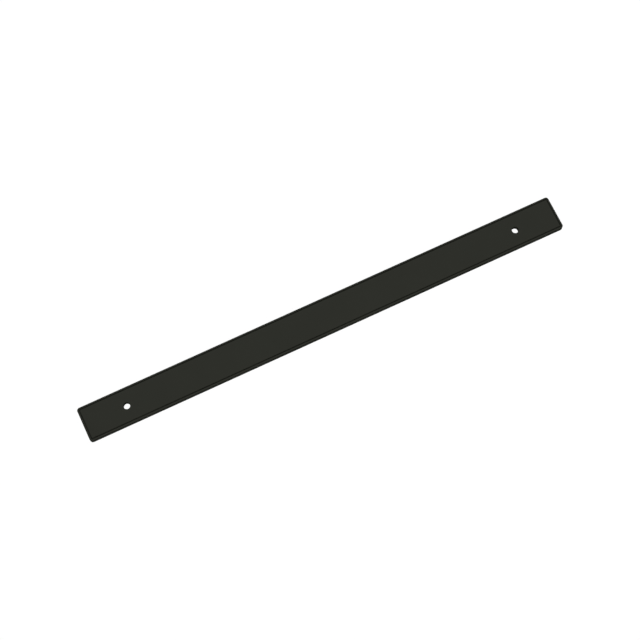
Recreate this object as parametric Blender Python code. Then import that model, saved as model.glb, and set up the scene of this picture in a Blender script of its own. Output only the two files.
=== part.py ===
"""A long, narrow kick plate: one flat bar of coated metal, screwed to a door through two plain holes.

Metres, +Z up. The plate lies on its back: the back is at z = 0 and the face looks up. X runs along the
plate and Y across it, and the origin is at the middle of the back.
"""

import math

import bmesh
import bpy
from mathutils import Vector

# The bar.
LENGTH = 0.350
WIDTH = 0.0245
THICKNESS = 0.0045
CORNER_RADIUS = 0.0020
FACE_EDGE_RADIUS = 0.0004
BACK_EDGE_RADIUS = 0.0003

# The border line, a fine slot in the face that follows the outline.
BORDER_INSET = 0.0015
BORDER_WIDTH = 0.0007
BORDER_DEPTH = 0.0010
LEAST_CORNER = 0.0002

# The screw holes, on the centre line, with both ends of each one eased.
HOLE_SPACING = 0.288
HOLE_DIAMETER = 0.0045
FACE_CHAMFER = 0.0002
BACK_CHAMFER = 0.0006

CORNER_SEGMENTS = 8
EDGE_SEGMENTS = 3
HOLE_SEGMENTS = 48
CUT_MARGIN = 0.001
SAME_HEIGHT = 0.00001
SHARP_ANGLE = math.radians(30)

COATING_COLOR = (0.028, 0.029, 0.024, 1.0)
COATING_ROUGHNESS = 0.55
COATING_METALLIC = 0.0


def clear_scene():
    for old in list(bpy.data.objects):
        bpy.data.objects.remove(old, do_unlink=True)


def new_collection(name):
    collection = bpy.data.collections.new(name)
    bpy.context.scene.collection.children.link(collection)
    return collection


def new_object(name, shape, collection):
    """Ends a bmesh and makes it an object."""
    mesh = bpy.data.meshes.new(name)
    shape.to_mesh(mesh)
    shape.free()
    made = bpy.data.objects.new(name, mesh)
    collection.objects.link(made)
    return made


def coating():
    """Satin black powder coat."""
    material = bpy.data.materials.new("black_powder_coat")
    material.use_nodes = True
    shader = material.node_tree.nodes["Principled BSDF"]
    shader.inputs["Base Color"].default_value = COATING_COLOR
    shader.inputs["Roughness"].default_value = COATING_ROUGHNESS
    shader.inputs["Metallic"].default_value = COATING_METALLIC
    return material


def round_edges(shape, edges, radius, segments):
    bmesh.ops.bevel(
        shape,
        geom=edges,
        offset=radius,
        offset_type="OFFSET",
        segments=segments,
        profile=0.5,
        affect="EDGES",
    )


def is_upright(edge):
    run = edge.verts[1].co - edge.verts[0].co
    return math.hypot(run.x, run.y) < abs(run.z)


def edges_at(shape, height):
    """The outline's edges at one height."""
    return [
        edge
        for edge in shape.edges
        if all(abs(vert.co.z - height) < SAME_HEIGHT for vert in edge.verts)
    ]


def rounded_slab(length, width, low, high, radius):
    """A box from z = low to z = high whose four upright edges are rounded."""
    shape = bmesh.new()
    bmesh.ops.create_cube(shape, size=1.0)
    bmesh.ops.scale(shape, vec=Vector((length, width, high - low)), verts=shape.verts)
    bmesh.ops.translate(shape, vec=Vector((0.0, 0.0, (low + high) / 2)), verts=shape.verts)
    round_edges(shape, [edge for edge in shape.edges if is_upright(edge)], radius, CORNER_SEGMENTS)
    return shape


def as_cutter(piece):
    piece.hide_render = True
    piece.display_type = "WIRE"
    return piece


def cut(piece, cutter):
    step = piece.modifiers.new("cut_" + cutter.name, "BOOLEAN")
    step.operation = "DIFFERENCE"
    step.solver = "EXACT"
    step.object = cutter


def inset_slab(name, inset, low, high, cutters):
    """A cutter whose outline runs this far inside the plate's own."""
    corner = max(CORNER_RADIUS - inset, LEAST_CORNER)
    shape = rounded_slab(LENGTH - 2 * inset, WIDTH - 2 * inset, low, high, corner)
    return as_cutter(new_object(name, shape, cutters))


def border_line(cutters):
    """The slot's cutter: a slab with a smaller slab taken out of its middle."""
    outer_inset = BORDER_INSET - BORDER_WIDTH / 2
    inner_inset = BORDER_INSET + BORDER_WIDTH / 2
    bottom = THICKNESS - BORDER_DEPTH
    top = THICKNESS + CUT_MARGIN
    outer = inset_slab("border_line", outer_inset, bottom, top, cutters)
    inner = inset_slab("border_line_core", inner_inset, bottom - CUT_MARGIN, top + CUT_MARGIN, cutters)
    cut(outer, inner)
    return outer


def cone_cutter(name, x, low, high, low_radius, high_radius, cutters):
    shape = bmesh.new()
    bmesh.ops.create_cone(
        shape,
        cap_ends=True,
        segments=HOLE_SEGMENTS,
        radius1=low_radius,
        radius2=high_radius,
        depth=high - low,
    )
    piece = as_cutter(new_object(name, shape, cutters))
    piece.location = (x, 0.0, (low + high) / 2)
    return piece


def cut_screw_hole(plate, side, x, cutters):
    """One plain hole, with a light chamfer at the face and a deeper one at the back."""
    radius = HOLE_DIAMETER / 2
    bore = cone_cutter(side + "_bore", x, -CUT_MARGIN, THICKNESS + CUT_MARGIN, radius, radius, cutters)
    face = cone_cutter(
        side + "_face_chamfer",
        x,
        THICKNESS - FACE_CHAMFER,
        THICKNESS + CUT_MARGIN,
        radius,
        radius + FACE_CHAMFER + CUT_MARGIN,
        cutters,
    )
    back = cone_cutter(
        side + "_back_chamfer",
        x,
        -CUT_MARGIN,
        BACK_CHAMFER,
        radius + BACK_CHAMFER + CUT_MARGIN,
        radius,
        cutters,
    )
    for cutter in (bore, face, back):
        cut(plate, cutter)


def kick_plate(parts, cutters):
    shape = rounded_slab(LENGTH, WIDTH, 0.0, THICKNESS, CORNER_RADIUS)
    round_edges(shape, edges_at(shape, THICKNESS), FACE_EDGE_RADIUS, EDGE_SEGMENTS)
    round_edges(shape, edges_at(shape, 0.0), BACK_EDGE_RADIUS, EDGE_SEGMENTS)
    plate = new_object("kick_plate", shape, parts)
    plate.data.materials.append(coating())
    plate.data.shade_smooth()
    plate.data.set_sharp_from_angle(angle=SHARP_ANGLE)
    cut(plate, border_line(cutters))
    cut_screw_hole(plate, "left", -HOLE_SPACING / 2, cutters)
    cut_screw_hole(plate, "right", HOLE_SPACING / 2, cutters)


def main():
    clear_scene()
    parts = new_collection("kick_plate")
    cutters = new_collection("cutters")
    cutters.hide_render = True
    kick_plate(parts, cutters)


main()
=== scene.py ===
"""The kick plate's looks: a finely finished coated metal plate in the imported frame, over a pale floor."""

import math

import bmesh
import bpy
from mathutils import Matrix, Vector


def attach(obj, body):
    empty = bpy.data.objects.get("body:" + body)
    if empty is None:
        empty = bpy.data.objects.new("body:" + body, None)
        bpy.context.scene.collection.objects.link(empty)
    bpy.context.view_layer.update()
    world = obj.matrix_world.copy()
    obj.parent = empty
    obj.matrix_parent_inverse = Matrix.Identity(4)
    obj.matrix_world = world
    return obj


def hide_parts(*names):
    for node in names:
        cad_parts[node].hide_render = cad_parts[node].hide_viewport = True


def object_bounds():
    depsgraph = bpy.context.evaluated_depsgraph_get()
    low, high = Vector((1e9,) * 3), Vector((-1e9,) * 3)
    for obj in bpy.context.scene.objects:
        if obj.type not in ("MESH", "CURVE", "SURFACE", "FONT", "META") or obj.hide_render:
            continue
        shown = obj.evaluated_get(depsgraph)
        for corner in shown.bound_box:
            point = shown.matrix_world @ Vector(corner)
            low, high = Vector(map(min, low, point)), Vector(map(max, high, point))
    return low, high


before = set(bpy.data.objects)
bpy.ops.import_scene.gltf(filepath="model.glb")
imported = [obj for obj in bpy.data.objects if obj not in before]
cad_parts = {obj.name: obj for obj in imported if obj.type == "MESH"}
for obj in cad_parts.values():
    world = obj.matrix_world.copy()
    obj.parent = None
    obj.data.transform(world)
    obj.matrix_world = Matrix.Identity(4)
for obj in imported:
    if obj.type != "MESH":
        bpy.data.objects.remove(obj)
cad_low, cad_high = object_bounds()

# The bar's length, width and thickness, from the frame, and how its corners and edges are rounded.
LENGTH = cad_high.x - cad_low.x
WIDTH = cad_high.y - cad_low.y
THICKNESS = cad_high.z - cad_low.z
CORNER_RADIUS = 0.0020
EDGE_RADIUS = 0.0004
BACK_EDGE_RADIUS = 0.0003

# The border line, a fine slot whose middle follows the outline this far in.
BORDER_INSET = 0.0015
BORDER_WIDTH = 0.0007
BORDER_DEPTH = 0.0010
BORDER_LIP = 0.00008
BORDER_ROOT = 0.00015

# The screw holes, with a small lip at the face and a deeper chamfer at the back.
HOLE_SPACING = 0.288
HOLE_RADIUS = 0.00225
HOLE_LIP = 0.0002
HOLE_CHAMFER = 0.0006

# How finely the mesh follows the shape.
CORNER_STEPS = 12
ALONG_STEPS = 35
ACROSS_STEPS = 3
ARC_STEPS = 5
HOLE_SEGMENTS = 96
LEAST_CORNER = 0.00005
SHARP_ANGLE = math.radians(30)

# Points this close to a bend keep the flat beside it flat. A shorter run than LONG_RUN needs none.
FLAT_SUPPORT = 0.0001
LONG_RUN = 3 * FLAT_SUPPORT

# The steps along the bar whose middles are closer than this to a hole belong to its patch.
PATCH_REACH = 0.007


# ------------------------------------------------------------------------------ outline and sections


def outline(inset, height):
    """The rounded rectangle this far inside the bar's own, as points anticlockwise seen from above."""
    corner = max(CORNER_RADIUS - inset, LEAST_CORNER)
    reach_x = LENGTH / 2 - inset - corner
    reach_y = WIDTH / 2 - inset - corner
    points = []
    for quarter, (side_x, side_y) in enumerate(((1, 1), (-1, 1), (-1, -1), (1, -1))):
        for step in range(CORNER_STEPS + 1):
            angle = math.radians(90) * (quarter + step / CORNER_STEPS)
            x = side_x * reach_x + corner * math.cos(angle)
            y = side_y * reach_y + corner * math.sin(angle)
            points.append(Vector((x, y, height)))
        start = points[-1].copy()
        end = start.copy()
        if quarter in (0, 2):
            end.x = -start.x
            steps = ALONG_STEPS
        else:
            end.y = -start.y
            steps = ACROSS_STEPS
        for step in range(1, steps):
            points.append(start.lerp(end, step / steps))
    return points


def arc(middle, radius, start, end):
    """Points of an arc in a cross-section, with angles in degrees from the section's first axis."""
    points = []
    for step in range(ARC_STEPS + 1):
        angle = math.radians(start + (end - start) * step / ARC_STEPS)
        across = middle[0] + radius * math.cos(angle)
        height = middle[1] + radius * math.sin(angle)
        points.append(Vector((across, height)))
    return points


def joined(pieces):
    """One path through the pieces, with a support point near each end of every long straight run."""
    path = list(pieces[0])
    for piece in pieces[1:]:
        run = piece[0] - path[-1]
        if run.length > LONG_RUN:
            inward = run.normalized() * FLAT_SUPPORT
            path += [path[-1] + inward, piece[0] - inward]
        path += piece
    return path


def bar_section():
    """The bar's section in (inset, height): off the face, through the slot, down the side, to the back."""
    near = BORDER_INSET - BORDER_WIDTH / 2
    far = BORDER_INSET + BORDER_WIDTH / 2
    root = THICKNESS - BORDER_DEPTH
    return joined(
        [
            [Vector((far + BORDER_LIP + FLAT_SUPPORT, THICKNESS))],
            arc((far + BORDER_LIP, THICKNESS - BORDER_LIP), BORDER_LIP, 90, 180),
            arc((far - BORDER_ROOT, root + BORDER_ROOT), BORDER_ROOT, 0, -90),
            arc((near + BORDER_ROOT, root + BORDER_ROOT), BORDER_ROOT, -90, -180),
            arc((near - BORDER_LIP, THICKNESS - BORDER_LIP), BORDER_LIP, 0, 90),
            arc((EDGE_RADIUS, THICKNESS - EDGE_RADIUS), EDGE_RADIUS, 90, 180),
            arc((BACK_EDGE_RADIUS, BACK_EDGE_RADIUS), BACK_EDGE_RADIUS, 180, 270),
            [Vector((BACK_EDGE_RADIUS + FLAT_SUPPORT, 0.0))],
        ]
    )


def hole_section():
    """A screw hole's section in (radius, height), from the face down to the back."""
    return joined(
        [
            [Vector((HOLE_RADIUS + HOLE_LIP + FLAT_SUPPORT, THICKNESS))],
            arc((HOLE_RADIUS + HOLE_LIP, THICKNESS - HOLE_LIP), HOLE_LIP, 90, 180),
            [Vector((HOLE_RADIUS, HOLE_CHAMFER))],
            [Vector((HOLE_RADIUS + HOLE_CHAMFER, 0.0))],
            [Vector((HOLE_RADIUS + HOLE_CHAMFER + FLAT_SUPPORT, 0.0))],
        ]
    )


def circle(middle_x, radius, height):
    points = []
    for step in range(HOLE_SEGMENTS):
        angle = 2 * math.pi * step / HOLE_SEGMENTS
        x = middle_x + radius * math.cos(angle)
        y = radius * math.sin(angle)
        points.append(Vector((x, y, height)))
    return points


# ------------------------------------------------------------------------------------------ the mesh


def add_ring(shape, points):
    return [shape.verts.new(point) for point in points]


def join_rings(shape, inner, outer):
    """A strip between two rings that run anticlockwise seen from above.

    It faces up where outer is the wider one."""
    count = len(inner)
    for index in range(count):
        after = (index + 1) % count
        shape.faces.new((inner[index], outer[index], outer[after], inner[after]))


def screw_hole(shape, middle_x):
    """The wall of one hole with its eased ends. It returns the ring on the face and the one on the back."""
    rings = [add_ring(shape, circle(middle_x, radius, height)) for radius, height in hole_section()]
    for upper, lower in zip(rings, rings[1:]):
        join_rings(shape, lower, upper)
    return rings[0], rings[-1]


def loop_edges(shape, loop):
    """The closed loop's edges, made where they are missing."""
    edges = []
    for ends in zip(loop, loop[1:] + loop[:1]):
        edges.append(shape.edges.get(ends) or shape.edges.new(ends))
    return edges


def patch_round(shape, top, bottom, hole):
    """Triangles between one stretch of the two long sides and the hole's ring."""
    edges = loop_edges(shape, top + bottom[::-1]) + loop_edges(shape, hole)
    made = bmesh.ops.triangle_fill(shape, use_beauty=True, edges=edges)
    return [item for item in made["geom"] if isinstance(item, bmesh.types.BMFace)]


def fill_flat(shape, ring, holes, up):
    """One flat of the bar, with every face looking up (1) or down (-1).

    It has quads between the long sides, one face at each end and a patch round each hole."""
    first_top = CORNER_STEPS
    last_top = first_top + ALONG_STEPS
    first_bottom = last_top + CORNER_STEPS + ACROSS_STEPS + CORNER_STEPS
    last_bottom = first_bottom + ALONG_STEPS
    top = ring[first_top : last_top + 1]
    bottom = ring[first_bottom : last_bottom + 1][::-1]
    faces = [
        shape.faces.new(ring[last_bottom:] + ring[: first_top + 1]),
        shape.faces.new(ring[last_top : first_bottom + 1]),
    ]
    near_hole = {middle_x: [] for middle_x in holes}
    for step in range(ALONG_STEPS):
        middle = (top[step].co.x + top[step + 1].co.x) / 2
        owners = [middle_x for middle_x in holes if abs(middle - middle_x) < PATCH_REACH]
        if owners:
            near_hole[owners[0]].append(step)
        else:
            faces.append(shape.faces.new((top[step], top[step + 1], bottom[step + 1], bottom[step])))
    for middle_x, steps in near_hole.items():
        stretch = slice(steps[0], steps[-1] + 2)
        faces += patch_round(shape, top[stretch], bottom[stretch], holes[middle_x])
    for face in faces:
        face.normal_update()
        if face.normal.z * up < 0.0:
            face.normal_flip()


def plate_mesh():
    shape = bmesh.new()
    rings = [add_ring(shape, outline(inset, height)) for inset, height in bar_section()]
    for upper, lower in zip(rings, rings[1:]):
        join_rings(shape, upper, lower)
    face_holes = {}
    back_holes = {}
    for side in (-1, 1):
        middle_x = side * HOLE_SPACING / 2
        face_holes[middle_x], back_holes[middle_x] = screw_hole(shape, middle_x)
    fill_flat(shape, rings[0], face_holes, 1)
    fill_flat(shape, rings[-1], back_holes, -1)
    mesh = bpy.data.meshes.new("coated_plate")
    shape.to_mesh(mesh)
    shape.free()
    mesh.shade_smooth()
    mesh.set_sharp_from_angle(angle=SHARP_ANGLE)
    return mesh


# --------------------------------------------------------------------------------------- the coating

COATING_DARK = (0.0142, 0.0152, 0.0107, 1.0)
COATING_LIGHT = (0.0167, 0.0178, 0.0128, 1.0)
COATING_SPECULAR = 0.12

# A slow drift in shade and gloss. SHADE_DRIFT is how far it goes from the dark colour to the light one.
CLOUD_SCALE = 45.0
CLOUD_DETAIL = 3.0
SHADE_DRIFT = (0.2, 0.8)
ROUGHNESS_DRIFT = (0.50, 0.56)

# Orange peel, and a finer grain over it.
PEEL_SCALE = 1100.0
PEEL_ROUGHNESS = 0.4
PEEL_STRENGTH = 0.3
PEEL_HEIGHT = 0.00003
GRAIN_SCALE = 5200.0
GRAIN_STRENGTH = 0.25
GRAIN_HEIGHT = 0.00001
FINE_DETAIL = 2.0

# The part of a noise texture's range that most of its values lie in.
NOISE_RANGE = (0.3, 0.7)


def new_material(name):
    material = bpy.data.materials.new(name)
    material.use_nodes = True
    tree = material.node_tree
    return material, tree.nodes, tree.links, tree.nodes["Principled BSDF"]


def noise(nodes, links, place, scale, detail, roughness=0.5):
    texture = nodes.new("ShaderNodeTexNoise")
    texture.inputs["Scale"].default_value = scale
    texture.inputs["Detail"].default_value = detail
    texture.inputs["Roughness"].default_value = roughness
    links.new(place.outputs["Object"], texture.inputs["Vector"])
    return texture.outputs["Fac"]


def spread(nodes, links, value, between):
    """The noise value, spread over the range between two numbers."""
    step = nodes.new("ShaderNodeMapRange")
    step.inputs["From Min"].default_value, step.inputs["From Max"].default_value = NOISE_RANGE
    step.inputs["To Min"].default_value, step.inputs["To Max"].default_value = between
    links.new(value, step.inputs["Value"])
    return step.outputs["Result"]


def bump(nodes, links, value, strength, height):
    step = nodes.new("ShaderNodeBump")
    step.inputs["Strength"].default_value = strength
    step.inputs["Distance"].default_value = height
    links.new(value, step.inputs["Height"])
    return step


def powder_coat():
    """Satin black powder coat: a fine orange peel, a finer grain, and a slow drift in shade and gloss."""
    material, nodes, links, shader = new_material("black_powder_coat")
    shader.inputs["Specular IOR Level"].default_value = COATING_SPECULAR
    place = nodes.new("ShaderNodeTexCoord")
    cloud = noise(nodes, links, place, CLOUD_SCALE, CLOUD_DETAIL)
    grain = noise(nodes, links, place, GRAIN_SCALE, FINE_DETAIL)
    peel = noise(nodes, links, place, PEEL_SCALE, FINE_DETAIL, PEEL_ROUGHNESS)

    shade = nodes.new("ShaderNodeMix")
    shade.data_type = "RGBA"
    shade.inputs["A"].default_value = COATING_DARK
    shade.inputs["B"].default_value = COATING_LIGHT
    links.new(spread(nodes, links, cloud, SHADE_DRIFT), shade.inputs["Factor"])
    links.new(shade.outputs["Result"], shader.inputs["Base Color"])
    links.new(spread(nodes, links, cloud, ROUGHNESS_DRIFT), shader.inputs["Roughness"])

    fine = bump(nodes, links, grain, GRAIN_STRENGTH, GRAIN_HEIGHT)
    broad = bump(nodes, links, peel, PEEL_STRENGTH, PEEL_HEIGHT)
    links.new(fine.outputs["Normal"], broad.inputs["Normal"])
    links.new(broad.outputs["Normal"], shader.inputs["Normal"])
    return material


def coated_plate():
    plate = bpy.data.objects.new("coated_plate", plate_mesh())
    bpy.context.scene.collection.objects.link(plate)
    plate.data.materials.append(powder_coat())
    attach(plate, "root")
    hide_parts("kick_plate")


# ---------------------------------------------------------------------------------------- the studio

# The floor lies far enough below the plate to show no shadow.
FLOOR_DROP = 0.50
FLOOR_SIZE = 40.0
FLOOR_WHITE = (0.9, 0.9, 0.9, 1.0)
FLOOR_ROUGHNESS = 0.9
SKY_STRENGTH = 1.13
SKY_WHITE = (1.0, 1.0, 1.0, 1.0)


def pale_floor():
    """A pale matte material that can't be seen from underneath, so that the plate's back can."""
    material, nodes, links, shader = new_material("studio_floor")
    shader.inputs["Base Color"].default_value = FLOOR_WHITE
    shader.inputs["Roughness"].default_value = FLOOR_ROUGHNESS
    shader.inputs["Specular IOR Level"].default_value = 0.0
    side = nodes.new("ShaderNodeNewGeometry")
    clear = nodes.new("ShaderNodeBsdfTransparent")
    either = nodes.new("ShaderNodeMixShader")
    links.new(side.outputs["Backfacing"], either.inputs[0])
    links.new(shader.outputs["BSDF"], either.inputs[1])
    links.new(clear.outputs["BSDF"], either.inputs[2])
    links.new(either.outputs["Shader"], nodes["Material Output"].inputs["Surface"])
    return material


def studio_sky():
    """Even white light from all round, with nothing below the horizon for the coating to mirror."""
    world = bpy.data.worlds.new("studio_sky")
    world.use_nodes = True
    nodes = world.node_tree.nodes
    links = world.node_tree.links
    place = nodes.new("ShaderNodeTexCoord")
    height = nodes.new("ShaderNodeSeparateXYZ")
    below = nodes.new("ShaderNodeMath")
    below.operation = "LESS_THAN"
    below.inputs[1].default_value = 0.0
    ray = nodes.new("ShaderNodeLightPath")
    hidden = nodes.new("ShaderNodeMath")
    hidden.operation = "MULTIPLY"
    strength = nodes.new("ShaderNodeMapRange")
    strength.inputs["To Min"].default_value = SKY_STRENGTH
    strength.inputs["To Max"].default_value = 0.0
    links.new(place.outputs["Generated"], height.inputs["Vector"])
    links.new(height.outputs["Z"], below.inputs[0])
    links.new(below.outputs["Value"], hidden.inputs[0])
    links.new(ray.outputs["Is Glossy Ray"], hidden.inputs[1])
    links.new(hidden.outputs["Value"], strength.inputs["Value"])
    links.new(strength.outputs["Result"], nodes["Background"].inputs["Strength"])
    nodes["Background"].inputs["Color"].default_value = SKY_WHITE
    return world


def studio():
    bpy.ops.mesh.primitive_plane_add(size=FLOOR_SIZE, location=(0.0, 0.0, -FLOOR_DROP))
    floor = bpy.context.object
    floor.name = "studio_floor"
    floor.data.materials.append(pale_floor())
    floor.visible_glossy = False
    bpy.context.scene.world = studio_sky()


# ---------------------------------------------------------------------------------------- the camera

# Angles in degrees round the plate. The distance and the aim are in plate lengths, and the lens in mm.
CAMERA_AZIMUTH = -25.298
CAMERA_ELEVATION = 73.334
CAMERA_DISTANCE = 2.9514
CAMERA_LENS = 86.77
AIM_ALONG = -0.01059
AIM_ACROSS = -0.00319
CLIP_START = 0.01
CLIP_END = 100.0


def camera():
    azimuth = math.radians(CAMERA_AZIMUTH)
    elevation = math.radians(CAMERA_ELEVATION)
    x = math.sin(azimuth) * math.cos(elevation)
    y = -math.cos(azimuth) * math.cos(elevation)
    back = Vector((x, y, math.sin(elevation)))
    aim = Vector((AIM_ALONG * LENGTH, AIM_ACROSS * LENGTH, THICKNESS))
    data = bpy.data.cameras.new("camera")
    data.lens = CAMERA_LENS
    data.clip_start = CLIP_START
    data.clip_end = CLIP_END
    eye = bpy.data.objects.new("camera", data)
    bpy.context.scene.collection.objects.link(eye)
    eye.location = aim + back * CAMERA_DISTANCE * LENGTH
    eye.rotation_mode = "QUATERNION"
    eye.rotation_quaternion = (-back).to_track_quat("-Z", "Y")
    bpy.context.scene.camera = eye


bpy.context.scene.view_settings.view_transform = "Standard"
camera()
coated_plate()
studio()
